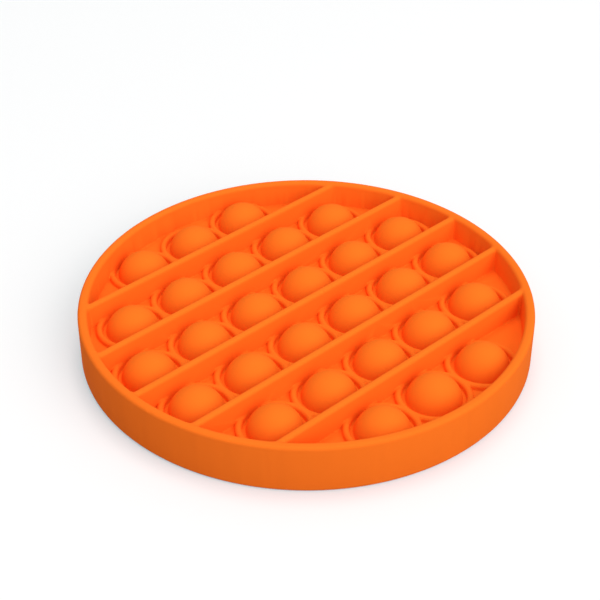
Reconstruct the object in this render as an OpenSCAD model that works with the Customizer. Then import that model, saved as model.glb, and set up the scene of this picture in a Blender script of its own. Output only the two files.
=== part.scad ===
// Round push-bubble toy, moulded as one piece of soft silicone.
// A deep round rim carries a thin sheet near half its height. Straight ribs
// stand on both faces of the sheet and part it into lanes. Each lane holds
// a row of hollow bubbles, and each bubble sits in a raised ring and joins
// the sheet through a thin hinge, so that it can be pushed through to the
// other face. Here every bubble is pushed up. X runs along the ribs, Z is
// up, and the origin is the middle of the face that the toy rests on.

/* [Rim] */
// Diameter across the outside of the rim
rim_d = 125; // [118:0.5:132]
// Height of the rim, which is the height of the toy
rim_h = 14.2; // [13:0.1:16]
// Thickness of the rim at its upper and lower edge
rim_edge_t = 2.6; // [2.3:0.1:3]
// Thickness of the rim where the sheet joins it
rim_foot_t = 3.0; // [2.8:0.1:3.6]
// Rounding of the outer corners of the rim
rim_outer_round = 1.0; // [0.5:0.1:1.1]
// Rounding of the inner corners of the rim
rim_inner_round = 1.0; // [0.3:0.1:1]

/* [Sheet] */
// Thickness of the sheet
sheet_t = 1.2; // [0.8:0.1:1.6]
// How far the middle of the sheet lies below half the height of the rim
sheet_drop = 0.45; // [0:0.05:0.8]

/* [Ribs] */
// Distance between the middles of two neighbouring ribs
lane_pitch = 19.15; // [18.6:0.05:20]
// Thickness of a rib at its edge
rib_edge_t = 2.0; // [2:0.1:2.4]
// Thickness of a rib where it stands on the sheet
rib_foot_t = 2.6; // [2.4:0.1:3]
// How far the edge of a rib stays behind the edge of the rim
rib_drop = 0.5; // [0.3:0.1:2]
// Rounding of the corners of a rib
rib_round = 0.9; // [0.3:0.1:0.9]

/* [Bubbles] */
// Distance between the middles of two neighbouring bubbles of a row
bubble_pitch = 19.05; // [18.6:0.05:20]
// Outside diameter of the ball that a bubble is a cap of
bubble_d = 15; // [14:0.1:15.6]
// Thickness of the wall of a bubble
bubble_wall = 0.9; // [0.7:0.05:1.2]
// How far the crown of a bubble stays below the upper edge of the rim
bubble_drop = 0.7; // [0.4:0.1:1.5]
// Thickness of the hinge between a bubble and its ring
hinge_t = 0.5; // [0.4:0.05:0.75]

/* [Rings] */
// Diameter of the crest line of a ring
ring_d = 18.7; // [18:0.02:18.8]
// Width of a ring, which is half-round on each face of the sheet
ring_w = 2.1; // [1.6:0.1:2.2]

/* [Clearances] */
// Least gap between the ball of a bubble and the inner wall of the rim
rim_gap = 0.3; // [0.2:0.1:0.6]

/* [Hidden] */

// Facets of the rim, of a bubble, and of a rounded corner or bead
RIM_FN = 180;
BUBBLE_FN = 64;
CORNER_FN = 24;

mid_z = rim_h / 2;
sheet_z = mid_z - sheet_drop;
rim_r = rim_d / 2;
bubble_r = bubble_d / 2;
ring_r = ring_d / 2;

// Height of the middle of the ball that a bubble is a cap of
ball_z = rim_h - bubble_drop - bubble_r;

// Radius of the inner wall of the rim at its foot, and of the middle of
// the rim at its edge, which the sheet and the ribs run into
inner_r = rim_r - rim_foot_t;
root_r = rim_r - rim_edge_t / 2;

// A bubble may stand no further from the middle of the toy than this
reach = inner_r - rim_gap - bubble_r;

lanes = floor(2 * inner_r / lane_pitch);

// Middle of one of n places that lie a pitch apart, centred on zero
function place(i, n, pitch) = (i - (n - 1) / 2) * pitch;

// Number of bubbles that fit a lane whose middle lies at y
function row_count(y) = 1 + floor(2 * sqrt(reach * reach - y * y) / bubble_pitch);

// One rounded corner of a wall, as [middle of the rounding, end of the
// rounding on the side face], for a side that leans from x = edge at the
// height h out to x = foot at the height zero
function corner(edge, foot, h, r) =
    let (
        lean = atan((foot - edge) / h),
        middle = [edge + r * tan(lean) - r / cos(lean), h - r]
    )
    [middle, middle + r * [cos(lean), sin(lean)]];

// Half section of a wall that stands on the x axis between two side faces,
// each given as [x at the edge, x at the foot, rounding of its corner]
module wall_half(h, left, right)
{
    a = corner(-left[0], -left[1], h, left[2]);
    b = corner(right[0], right[1], h, right[2]);
    polygon([
        [left[1], 0],
        [-a[1][0], a[1][1]],
        [-a[0][0], h],
        [b[0][0], h],
        b[1],
        [right[1], 0]
    ]);
    translate([-a[0][0], a[0][1]]) circle(r = left[2], $fn = CORNER_FN);
    translate(b[0]) circle(r = right[2], $fn = CORNER_FN);
}

// The wall above and below half its height
module wall_section(h, left, right)
{
    for (flip = [0, 1])
        mirror([0, flip])
            wall_half(h, left, right);
}

module rim()
{
    translate([0, 0, mid_z])
        rotate_extrude($fn = RIM_FN)
            wall_section(
                mid_z,
                [rim_r - rim_edge_t, rim_r - rim_foot_t, rim_inner_round],
                [rim_r, rim_r, rim_outer_round]
            );
}

// One rib, right across the toy
module rib()
{
    translate([-rim_r, 0, mid_z])
        rotate([90, 0, 90])
            linear_extrude(rim_d)
                wall_section(
                    mid_z - rib_drop,
                    [-rib_edge_t / 2, -rib_foot_t / 2, rib_round],
                    [rib_edge_t / 2, rib_foot_t / 2, rib_round]
                );
}

// The ribs, cut off inside the wall of the rim
module ribs()
{
    intersection() {
        for (i = [0 : lanes - 2])
            translate([0, place(i, lanes - 1, lane_pitch), 0])
                rib();
        cylinder(h = rim_h, r = root_r, $fn = RIM_FN);
    }
}

// Moves its children to the middle of each bubble
module at_bubbles()
{
    for (lane = [0 : lanes - 1]) {
        y = place(lane, lanes, lane_pitch);
        n = row_count(y);
        for (i = [0 : n - 1])
            translate([place(i, n, bubble_pitch), y, 0])
                children();
    }
}

// The sheet, with a hole under the crest of each ring
module sheet()
{
    translate([0, 0, sheet_z - sheet_t / 2])
        linear_extrude(sheet_t)
            difference() {
                circle(r = root_r, $fn = RIM_FN);
                at_bubbles() circle(r = ring_r, $fn = BUBBLE_FN);
            }
}

// Half section of a bubble's thin cap, down to the lower face of the hinge
module cap_section()
{
    intersection() {
        translate([0, ball_z])
            difference() {
                circle(r = bubble_r, $fn = BUBBLE_FN);
                circle(r = bubble_r - bubble_wall, $fn = BUBBLE_FN);
            }
        translate([0, sheet_z - hinge_t / 2])
            square([bubble_r, rim_h]);
    }
}

// Half section of the hinge between the cap and the ring
module hinge_section()
{
    translate([bubble_r - bubble_wall, sheet_z - hinge_t / 2])
        square([ring_r - bubble_r + bubble_wall, hinge_t]);
}

// Half section of the ring, half-round on both faces of the sheet
module ring_section()
{
    for (side = [-1, 1])
        translate([ring_r, sheet_z + side * sheet_t / 2])
            circle(r = ring_w / 2, $fn = CORNER_FN);
    translate([ring_r - ring_w / 2, sheet_z - sheet_t / 2])
        square([ring_w, sheet_t]);
}

module bubble()
{
    rotate_extrude($fn = BUBBLE_FN) {
        cap_section();
        hinge_section();
        ring_section();
    }
}

module bubble_moulding()
{
    color("darkorange") {
        rim();
        sheet();
        ribs();
        at_bubbles() bubble();
    }
}

bubble_moulding();
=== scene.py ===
"""Round push-bubble toy of moulded silicone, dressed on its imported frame.

The toy is one moulding, so it is one piece. A Geometry Nodes tree works out the distance to its
surface at each point of a fine volume, from a few named sizes as the solid's source does, and melts
the forms into one another with soft fillets, as they run together in a real mould. The volume's
skin is the piece. Every length is in metres.
"""
import math
from types import SimpleNamespace

import bpy
from bpy.props import FloatProperty, FloatVectorProperty, IntProperty, PointerProperty
from mathutils import Matrix, Vector


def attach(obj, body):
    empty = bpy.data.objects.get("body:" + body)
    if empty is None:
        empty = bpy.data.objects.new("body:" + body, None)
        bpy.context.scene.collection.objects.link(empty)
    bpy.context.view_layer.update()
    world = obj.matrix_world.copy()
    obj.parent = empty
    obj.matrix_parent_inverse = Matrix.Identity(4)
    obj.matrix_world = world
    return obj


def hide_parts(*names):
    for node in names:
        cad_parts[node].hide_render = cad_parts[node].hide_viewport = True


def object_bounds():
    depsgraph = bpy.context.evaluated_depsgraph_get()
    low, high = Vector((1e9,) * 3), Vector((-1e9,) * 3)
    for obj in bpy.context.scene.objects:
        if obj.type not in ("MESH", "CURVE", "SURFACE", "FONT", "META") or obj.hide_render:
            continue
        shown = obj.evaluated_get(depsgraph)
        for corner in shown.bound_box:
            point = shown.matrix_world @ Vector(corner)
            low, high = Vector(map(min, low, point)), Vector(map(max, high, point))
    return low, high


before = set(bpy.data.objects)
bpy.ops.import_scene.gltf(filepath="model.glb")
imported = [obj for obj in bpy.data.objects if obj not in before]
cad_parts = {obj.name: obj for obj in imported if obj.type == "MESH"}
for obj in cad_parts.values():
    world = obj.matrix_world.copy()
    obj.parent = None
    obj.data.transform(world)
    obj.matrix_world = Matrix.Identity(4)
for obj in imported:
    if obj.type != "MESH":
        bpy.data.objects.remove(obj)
CAD_LOW, CAD_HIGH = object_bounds()

bl_info = {
    "name": "Push-bubble toy",
    "version": (1, 0, 0),
    "blender": (4, 5, 0),
    "location": "View3D > Sidebar > Bubble toy",
    "description": "A round silicone toy with rows of bubbles that push through",
    "category": "Object",
}

MM = 0.001
NODE = "bubble_moulding"
BODY = "root"

# The density of the volume falls from one to zero over this many voxels, across the skin
SKIN_VOXELS = 4

# From the middle of the floor to its edge
FLOOR_REACH = 3


def linear(hex_colour):
    """An sRGB hex colour, such as F9791B, as linear red, green and blue."""
    shares = [int(hex_colour[i:i + 2], 16) / 255 for i in (0, 2, 4)]
    return [s / 12.92 if s <= 0.04045 else ((s + 0.055) / 1.055) ** 2.4 for s in shares]


def length(name, description, size):
    """A length that a user can change, with its size now in millimetres."""
    return FloatProperty(
        name=name, description=description, default=size * MM, min=0, precision=5,
        subtype="DISTANCE", unit="LENGTH",
    )


class BubbleToySizes(bpy.types.PropertyGroup):
    """Sizes of the moulding"""
    rim_width: length(
        "Rim width", "Width across the outside of the rim", (CAD_HIGH.x - CAD_LOW.x) / MM)
    rim_height: length("Rim height", "Height of the rim", (CAD_HIGH.z - CAD_LOW.z) / MM)
    rim_edge: length("Rim edge", "Thickness of the rim at its upper and lower edge", 2.6)
    rim_foot: length("Rim foot", "Thickness of the rim where the sheet joins it", 3.0)
    rim_round: length("Rim rounding", "Radius of the corners of the rim", 1.0)
    rim_gap: length("Rim gap", "Least gap between the ball of a bubble and the rim", 0.3)
    sheet: length("Sheet", "Thickness of the sheet", 1.0)
    sheet_drop: length("Sheet drop", "How far the sheet lies below half the height of the rim", 0.75)
    lane_pitch: length("Lane pitch", "Distance between two neighbouring ribs", 19.15)
    rib_edge: length("Rib edge", "Thickness of a rib at its edge", 2.0)
    rib_foot: length("Rib foot", "Thickness of a rib where it stands on the sheet", 2.6)
    rib_drop: length("Rib drop", "How far a rib stays behind the edge of the rim", 0.5)
    rib_round: length("Rib rounding", "Radius of the corners of a rib", 0.9)
    bubble_pitch: length("Bubble pitch", "Distance between two bubbles of a row", 19.05)
    bubble_width: length("Bubble width", "Diameter of the ball of a bubble", 15.0)
    bubble_wall: length("Bubble wall", "Thickness of the wall of a bubble", 0.9)
    bubble_drop: length("Bubble drop", "How far a crown stays below the edge of the rim", 0.7)
    hinge: length("Hinge", "Thickness of the web between a bubble and its ring", 0.5)
    ring_width: length("Ring width", "Diameter of the crest line of a ring", 18.7)
    ring_bead: length("Ring bead", "Width of a ring, half-round on each face", 1.85)
    ring_rise: length("Ring rise", "How far the crest of a ring stands off the middle of the sheet", 2.0)
    rim_fillet: length("Rim fillet", "How softly the ribs run into the rim", 1.2)
    rib_fillet: length("Rib fillet", "How softly the ribs and the rim run into the sheet", 0.4)
    bead_fillet: length("Bead fillet", "How softly the rings run into the sheet", 0.05)
    bubble_fillet: length("Bubble fillet", "How softly a bubble runs into its hinge and ring", 0.05)
    voxel: length("Voxel", "Step of the volume that the skin is taken from", 0.25)


class BubbleToyFinish(bpy.types.PropertyGroup):
    """How fine the skin is, and what its material looks like"""
    triangles: IntProperty(
        name="Triangles", description="Most triangles in the finished skin", default=190000, min=1000)
    colour: FloatVectorProperty(
        name="Colour", description="Pigment of the silicone", subtype="COLOR", size=3,
        min=0, max=1, default=linear("FC7520"))
    roughness: FloatProperty(
        name="Roughness", description="Roughness of the moulded skin", default=0.8,
        min=0, max=1, subtype="FACTOR")


class BubbleToyStage(bpy.types.PropertyGroup):
    """Strength and distance of the lights"""
    key_power: FloatProperty(
        name="Key power", description="Power of the soft key light", default=18.4, min=0,
        subtype="POWER", unit="POWER")
    front_power: FloatProperty(
        name="Front power", description="Power of the wide light behind the camera", default=12,
        min=0, subtype="POWER", unit="POWER")
    top_power: FloatProperty(
        name="Top power", description="Power of the light overhead", default=11.6, min=0,
        subtype="POWER", unit="POWER")
    distance: length("Lamp distance", "Distance of each lamp from the toy", 2000)
    ambient: FloatProperty(
        name="Ambient", description="Strength of the even light from all round", default=0.5, min=0)


def add_node(tree, kind, settings, inputs):
    """Adds a node, sets it up, and links or fills its inputs, given by name or number."""
    node = tree.nodes.new(kind)
    for name, value in settings.items():
        setattr(node, name, value)
    for key, value in inputs.items():
        if isinstance(value, bpy.types.NodeSocket):
            tree.links.new(value, node.inputs[key])
        else:
            node.inputs[key].default_value = value
    return node


class Field:
    """A number at each point of the volume. Its sums and products become nodes of the tree."""

    def __init__(self, socket):
        self.socket = socket

    def calc(self, operation, *others):
        values = [v.socket if isinstance(v, Field) else v for v in (self, *others)]
        settings = {"operation": operation}
        node = add_node(self.socket.id_data, "ShaderNodeMath", settings, dict(enumerate(values)))
        return Field(node.outputs[0])

    def __add__(self, other):
        return self.calc("ADD", other)

    def __sub__(self, other):
        return self.calc("SUBTRACT", other)

    def __mul__(self, other):
        return self.calc("MULTIPLY", other)

    def __truediv__(self, other):
        return self.calc("DIVIDE", other)

    def __abs__(self):
        return self.calc("ABSOLUTE")

    def least(self, other):
        return self.calc("MINIMUM", other)

    def most(self, other):
        return self.calc("MAXIMUM", other)

    def within(self, low, high):
        return self.most(low).least(high)

    def across(self, other):
        """Length of the diagonal over two sides."""
        return (self * self + other * other).calc("SQRT")

    def join(self, other, fillet):
        """Distance to two forms that run into each other with a fillet."""
        return self.calc("SMOOTH_MIN", other, fillet)

    def trim(self, other, fillet):
        """Distance to what two forms share, with a rounded edge."""
        return self.calc("SMOOTH_MAX", other, fillet)


def wall(side, rise, half, top, rounding):
    """Distance to an upright wall with rounded edges, half thick and with its edge at top."""
    out = side - half + rounding
    up = rise - top + rounding
    return out.most(0).across(up.most(0)) + out.most(up).least(0) - rounding


def moulding_distance(s, x, y, z):
    """Distance from a point to the skin of the toy, below zero inside the silicone."""
    half_height = s.rim_height / 2
    rim_r = s.rim_width / 2
    bubble_r = s.bubble_width / 2
    ring_r = s.ring_width / 2
    inner_r = rim_r - s.rim_foot
    root_r = rim_r - s.rim_edge / 2
    reach = inner_r - s.rim_gap - bubble_r
    ball_z = s.rim_height - s.bubble_drop - bubble_r
    sheet_z = half_height - s.sheet_drop

    # Height off the middle of the rim, on either face, and off the middle of the sheet. The level is
    # zero at the middle of a wall and one at its edge
    rise = abs(z - half_height)
    off_sheet = abs(z - sheet_z)
    level = rise / half_height
    radius = x.across(y)

    # Rim: a round wall that is thinner at its edges, upright outside and leaning inside
    rim_half = (s.rim_foot + (s.rim_edge - s.rim_foot) * level) / 2
    rim = wall(abs(radius - rim_r + rim_half), rise, rim_half, half_height, s.rim_round)

    # Ribs: the nearest of the straight walls between the lanes, which end inside the rim
    lanes = (inner_r / s.lane_pitch).calc("FLOOR")
    rib_place = (y / s.lane_pitch).calc("ROUND").within(lanes * -1 + 1, lanes - 1)
    rib_side = abs(y - rib_place * s.lane_pitch)
    rib_half = (s.rib_foot + (s.rib_edge - s.rib_foot) * level) / 2
    rib = wall(rib_side, rise, rib_half, half_height - s.rib_drop, s.rib_round)
    rib = rib.most(radius - root_r)

    # The nearest bubble of the nearest lane: last counts a row's bubbles from zero
    lane = ((y / s.lane_pitch).calc("FLOOR") + 0.5).within(lanes * -1 + 0.5, lanes - 0.5)
    lane_y = lane * s.lane_pitch
    half_row = (reach * reach - lane_y * lane_y).calc("SQRT")
    last = (half_row * 2 / s.bubble_pitch).calc("FLOOR")
    place = (x / s.bubble_pitch + last / 2).calc("ROUND").within(0, last)
    along = x - (place - last / 2) * s.bubble_pitch
    aside = y - lane_y
    from_middle = along.across(aside)

    # The bubble next to it, whose ring runs into its own. Past the end of a row there is none, and
    # a metre is added to put its ring out of reach
    towards = along.calc("SIGN")
    next_place = place + towards
    no_next = (next_place * (last - next_place)).calc("LESS_THAN", -0.5)
    from_next = (along - towards * s.bubble_pitch).across(aside) + no_next

    # Ring, sheet, web and cap. The web is cut off inside the hollow, and the cap below the web
    up_ring = (off_sheet - s.ring_rise + s.ring_bead / 2).most(0)
    ring = (from_middle - ring_r).across(up_ring) - s.ring_bead / 2
    next_ring = (from_next - ring_r).across(up_ring) - s.ring_bead / 2
    sheet = (off_sheet - s.sheet / 2).most(radius - root_r).most(ring_r - from_middle)
    hinge = (off_sheet - s.hinge / 2).most(from_middle - ring_r)
    hinge = hinge.trim(bubble_r - s.bubble_wall - from_middle, s.hinge)
    ball = from_middle.across(z - ball_z)
    cap = abs(ball - bubble_r + s.bubble_wall / 2) - s.bubble_wall / 2
    cap = cap.trim(sheet_z - s.hinge / 2 - z, s.hinge)

    bed = sheet.join(ring.join(next_ring, s.bead_fillet), s.bead_fillet)
    bed = bed.join(rib.join(rim, s.rim_fillet), s.rib_fillet)
    bubble = cap.join(hinge, s.bubble_fillet)
    return bed.join(bubble, s.bubble_fillet).most(rise - half_height)


def moulding_tree(sizes):
    """The node tree that turns the sizes into the skin of the moulding, and its input names."""
    tree = bpy.data.node_groups.new("Silicone moulding", "GeometryNodeTree")
    tree.interface.new_socket("Skin", in_out="OUTPUT", socket_type="NodeSocketGeometry")
    identifiers = {}
    for prop in sizes.bl_rna.properties:
        if prop.type != "FLOAT":
            continue
        socket = tree.interface.new_socket(prop.name, in_out="INPUT", socket_type="NodeSocketFloat")
        socket.subtype = "DISTANCE"
        identifiers[prop.identifier] = socket.identifier
    socket = tree.interface.new_socket("Material", in_out="INPUT", socket_type="NodeSocketMaterial")
    identifiers["material"] = socket.identifier

    given = add_node(tree, "NodeGroupInput", {}, {})
    by_identifier = {o.identifier: o for o in given.outputs}
    named = {name: by_identifier[i] for name, i in identifiers.items()}
    s = SimpleNamespace(**{name: Field(o) for name, o in named.items() if name != "material"})

    position = add_node(tree, "GeometryNodeInputPosition", {}, {})
    parts = add_node(tree, "ShaderNodeSeparateXYZ", {}, {0: position.outputs[0]})
    distance = moulding_distance(s, *[Field(o) for o in parts.outputs])

    # The skin lies where the density is a half
    density = (distance / (s.voxel * -SKIN_VOXELS) + 0.5).within(0, 1)
    margin = s.voxel * SKIN_VOXELS
    side = s.rim_width / 2 + margin
    top = s.rim_height + margin
    back = (side * -1).socket
    low = add_node(tree, "ShaderNodeCombineXYZ", {}, {0: back, 1: back, 2: (margin * -1).socket})
    high = add_node(tree, "ShaderNodeCombineXYZ", {}, {0: side.socket, 1: side.socket, 2: top.socket})
    steps = (side * 2 / s.voxel).socket
    volume = add_node(tree, "GeometryNodeVolumeCube", {}, {
        "Density": density.socket, "Background": 0, "Min": low.outputs[0], "Max": high.outputs[0],
        "Resolution X": steps, "Resolution Y": steps, "Resolution Z": ((top + margin) / s.voxel).socket,
    })
    skin = add_node(tree, "GeometryNodeVolumeToMesh", {}, {"Volume": volume.outputs[0], "Threshold": 0.5})
    smooth = add_node(tree, "GeometryNodeSetShadeSmooth", {}, {"Geometry": skin.outputs[0]})
    real = add_node(tree, "GeometryNodeRealizeInstances", {}, {0: smooth.outputs[0]})
    dressed = add_node(tree, "GeometryNodeSetMaterial", {}, {
        "Geometry": real.outputs[0], "Material": named["material"],
    })
    add_node(tree, "NodeGroupOutput", {}, {0: dressed.outputs[0]})
    return tree, identifiers


def new_object(name, data):
    """An object at the origin, in the scene."""
    made = bpy.data.objects.new(name, data)
    bpy.context.scene.collection.objects.link(made)
    return made


def plain_mesh(source):
    """The evaluated object as a mesh with no modifiers."""
    graph = bpy.context.evaluated_depsgraph_get()
    return bpy.data.meshes.new_from_object(source.evaluated_get(graph), depsgraph=graph)


def moulded_silicone(finish):
    """Soft silicone rubber, pigmented and moulded in a fine-blasted tool. It is matt, with a faint
    grain, a weak sheen in cloudy patches and a colour that is a touch uneven."""
    material = bpy.data.materials.new("moulded_silicone")
    material.use_nodes = True
    tree = material.node_tree
    shader = tree.nodes["Principled BSDF"]
    place = add_node(tree, "ShaderNodeTexCoord", {}, {}).outputs["Object"]

    # Blasted tool: the grain is about 0.15 mm, drawn at 0.3 mm so that it shows
    grain = add_node(tree, "ShaderNodeTexNoise", {}, {
        "Vector": place, "Scale": 1 / (0.3 * MM), "Detail": 2, "Roughness": 0.5,
    })
    bump = add_node(tree, "ShaderNodeBump", {}, {
        "Strength": 0.15, "Distance": 0.03 * MM, "Height": grain.outputs["Fac"],
    })
    tree.links.new(bump.outputs[0], shader.inputs["Normal"])

    # Handling and flow leave patches of sheen about 9 mm wide
    patches = add_node(tree, "ShaderNodeTexNoise", {}, {
        "Vector": place, "Scale": 1 / (9 * MM), "Detail": 3, "Roughness": 0.55,
    })
    sheen = add_node(tree, "ShaderNodeMapRange", {}, {
        "Value": patches.outputs["Fac"], "From Min": 0.3, "From Max": 0.7,
        "To Min": finish.roughness - 0.05, "To Max": finish.roughness + 0.05,
    })
    tree.links.new(sheen.outputs[0], shader.inputs["Roughness"])

    # Pigment is up to 3% deeper in places, as it settles in the mould
    deep = [c * 0.97 for c in finish.colour] + [1]
    tint = add_node(tree, "ShaderNodeMix", {"data_type": "RGBA"}, {
        "Factor": patches.outputs["Fac"], 6: [*finish.colour, 1], 7: deep,
    })
    tree.links.new(tint.outputs[2], shader.inputs["Base Color"])
    shader.inputs["IOR"].default_value = 1.41
    shader.inputs["Specular IOR Level"].default_value = 0.05
    return material


class BUBBLETOY_OT_moulding(bpy.types.Operator):
    """Makes the silicone moulding and puts it in the place of its plain solid"""
    bl_idname = "bubble_toy.moulding"
    bl_label = "Make the moulding"

    def execute(self, context):
        sizes = context.scene.bubble_toy_sizes
        finish = context.scene.bubble_toy_finish
        tree, identifiers = moulding_tree(sizes)
        grower = new_object("moulding_volume", bpy.data.meshes.new("moulding_volume"))
        nodes = grower.modifiers.new("Moulding", "NODES")
        nodes.node_group = tree
        for name, identifier in identifiers.items():
            if name != "material":
                nodes[identifier] = getattr(sizes, name)
        nodes[identifiers["material"]] = moulded_silicone(finish)
        piece = new_object("silicone_moulding", plain_mesh(grower))
        bpy.data.objects.remove(grower)
        triangles = sum(len(p.vertices) - 2 for p in piece.data.polygons)
        thin = piece.modifiers.new("Thin out", "DECIMATE")
        thin.ratio = finish.triangles / triangles
        piece.data = plain_mesh(piece)
        piece.modifiers.clear()
        # The skin of a volume comes with an empty slot ahead of its material
        piece.data.materials.pop(index=0)
        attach(piece, BODY)
        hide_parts(NODE)
        return {"FINISHED"}


# The camera as it was fitted to the photograph: the turn about the upright axis, its height above
# the horizon, its distance, the point that it looks at before the turn, and its focal length as a
# share of the picture's width
CAMERA_TURN = math.radians(-43.75)
CAMERA_HEIGHT = math.radians(37.369)
CAMERA_DISTANCE = 0.405058
CAMERA_AIM = Vector((-0.001708, 0, 0.013041))
CAMERA_FOCAL = 1442.79 / 600
SENSOR_WIDTH = 36


# Each round softbox: its width in metres, and how many degrees it stands to the right of the camera
# and above the floor
LAMPS = {"key": (1.87, 50, 38), "front": (2.31, 15, 32), "top": (1.07, 180, 78)}


def background_rays(tree):
    """One for the camera's rays and for those that glossy or clear things send, else zero."""
    seen = add_node(tree, "ShaderNodeLightPath", {}, {})
    shiny = add_node(tree, "ShaderNodeMath", {"operation": "MAXIMUM"}, {
        0: seen.outputs["Is Camera Ray"], 1: seen.outputs["Is Glossy Ray"],
    })
    either = add_node(tree, "ShaderNodeMath", {"operation": "MAXIMUM"}, {
        0: shiny.outputs[0], 1: seen.outputs["Is Transmission Ray"],
    })
    return either.outputs[0]


def pale_card():
    """Matt pale card. For the camera it is paler and glows a little, so that the picture's ground is
    white, and it still takes the shadow. Red adds less of the glow, so that the orange light that the
    toy throws on the card hardly tints the shadow."""
    material = bpy.data.materials.new("matt_pale_card")
    material.use_nodes = True
    tree = material.node_tree
    tree.nodes.clear()
    card = add_node(tree, "ShaderNodeBsdfDiffuse", {}, {"Color": [*linear("AAAAAA"), 1]})
    paler = add_node(tree, "ShaderNodeBsdfDiffuse", {}, {"Color": [*linear("E7CEC8"), 1]})
    glow = add_node(tree, "ShaderNodeEmission", {}, {"Color": [*linear("639BA4"), 1], "Strength": 1})
    glowing = add_node(tree, "ShaderNodeAddShader", {}, {0: paler.outputs[0], 1: glow.outputs[0]})
    mixed = add_node(tree, "ShaderNodeMixShader", {}, {
        "Fac": background_rays(tree), 1: card.outputs[0], 2: glowing.outputs[0],
    })
    add_node(tree, "ShaderNodeOutputMaterial", {}, {"Surface": mixed.outputs[0]})
    return material


def aim(thing, place, target):
    """Puts a camera or a lamp at a place, looking at a target."""
    thing.location = place
    thing.rotation_euler = (target - place).to_track_quat("-Z", "Y").to_euler()


def from_camera_side(side, height, distance):
    """A point at this distance, at this angle to the right of the camera and above the floor."""
    level = math.cos(height)
    ahead = Vector((math.sin(side) * level, -math.cos(side) * level, math.sin(height)))
    return Matrix.Rotation(CAMERA_TURN, 3, "Z") @ ahead * distance


class BUBBLETOY_OT_stage(bpy.types.Operator):
    """Makes the pale floor, the soft light and the camera"""
    bl_idname = "bubble_toy.stage"
    bl_label = "Make the stage"

    def execute(self, context):
        scene = context.scene
        stage = scene.bubble_toy_stage
        floor_mesh = bpy.data.meshes.new("floor")
        signs = ((-1, -1), (1, -1), (1, 1), (-1, 1))
        corners = [(i * FLOOR_REACH, j * FLOOR_REACH, 0) for i, j in signs]
        floor_mesh.from_pydata(corners, [], [(0, 1, 2, 3)])
        floor_mesh.materials.append(pale_card())
        new_object("floor", floor_mesh)

        for name, (width, side, height) in LAMPS.items():
            lamp = bpy.data.lights.new(name, "AREA")
            lamp.shape = "DISK"
            lamp.size = width
            lamp.energy = getattr(stage, name + "_power")
            place = from_camera_side(math.radians(side), math.radians(height), stage.distance)
            aim(new_object(name, lamp), place, Vector())

        world = bpy.data.worlds.new("soft_room")
        world.use_nodes = True
        tree = world.node_tree
        tree.nodes.clear()
        white = [*linear("FFFFFF"), 1]
        room = add_node(tree, "ShaderNodeBackground", {}, {"Color": white, "Strength": stage.ambient})
        plain = add_node(tree, "ShaderNodeBackground", {}, {"Color": white, "Strength": 1})
        mixed = add_node(tree, "ShaderNodeMixShader", {}, {
            "Fac": background_rays(tree), 1: room.outputs[0], 2: plain.outputs[0],
        })
        add_node(tree, "ShaderNodeOutputWorld", {}, {"Surface": mixed.outputs[0]})
        scene.world = world

        camera = new_object("camera", bpy.data.cameras.new("camera"))
        camera.data.sensor_width = SENSOR_WIDTH
        camera.data.lens = CAMERA_FOCAL * SENSOR_WIDTH
        camera.data.clip_start = 10 * MM
        turn = Matrix.Rotation(CAMERA_TURN, 3, "Z")
        aim(camera, from_camera_side(0, CAMERA_HEIGHT, CAMERA_DISTANCE), turn @ CAMERA_AIM)
        scene.camera = camera
        scene.view_settings.view_transform = "Standard"
        return {"FINISHED"}


class BUBBLETOY_PT_panel(bpy.types.Panel):
    """Lists the sizes, the finish, the stage and the operators"""
    bl_label = "Bubble toy"
    bl_idname = "BUBBLETOY_PT_panel"
    bl_space_type = "VIEW_3D"
    bl_region_type = "UI"
    bl_category = "Bubble toy"

    def draw(self, context):
        for group in GROUPS:
            settings = getattr(context.scene, group)
            box = self.layout.box()
            for prop in settings.bl_rna.properties:
                if prop.identifier not in ("rna_type", "name"):
                    box.prop(settings, prop.identifier)
        for operator in OPERATORS:
            self.layout.operator(operator.bl_idname)


GROUPS = {
    "bubble_toy_sizes": BubbleToySizes,
    "bubble_toy_finish": BubbleToyFinish,
    "bubble_toy_stage": BubbleToyStage,
}
OPERATORS = (BUBBLETOY_OT_moulding, BUBBLETOY_OT_stage)
CLASSES = (*GROUPS.values(), *OPERATORS, BUBBLETOY_PT_panel)


def register():
    for cls in CLASSES:
        bpy.utils.register_class(cls)
    for name, group in GROUPS.items():
        setattr(bpy.types.Scene, name, PointerProperty(type=group))


def unregister():
    for name in GROUPS:
        delattr(bpy.types.Scene, name)
    for cls in reversed(CLASSES):
        bpy.utils.unregister_class(cls)


def main():
    register()
    bpy.ops.bubble_toy.moulding()
    bpy.ops.bubble_toy.stage()


if __name__ == "__main__":
    main()
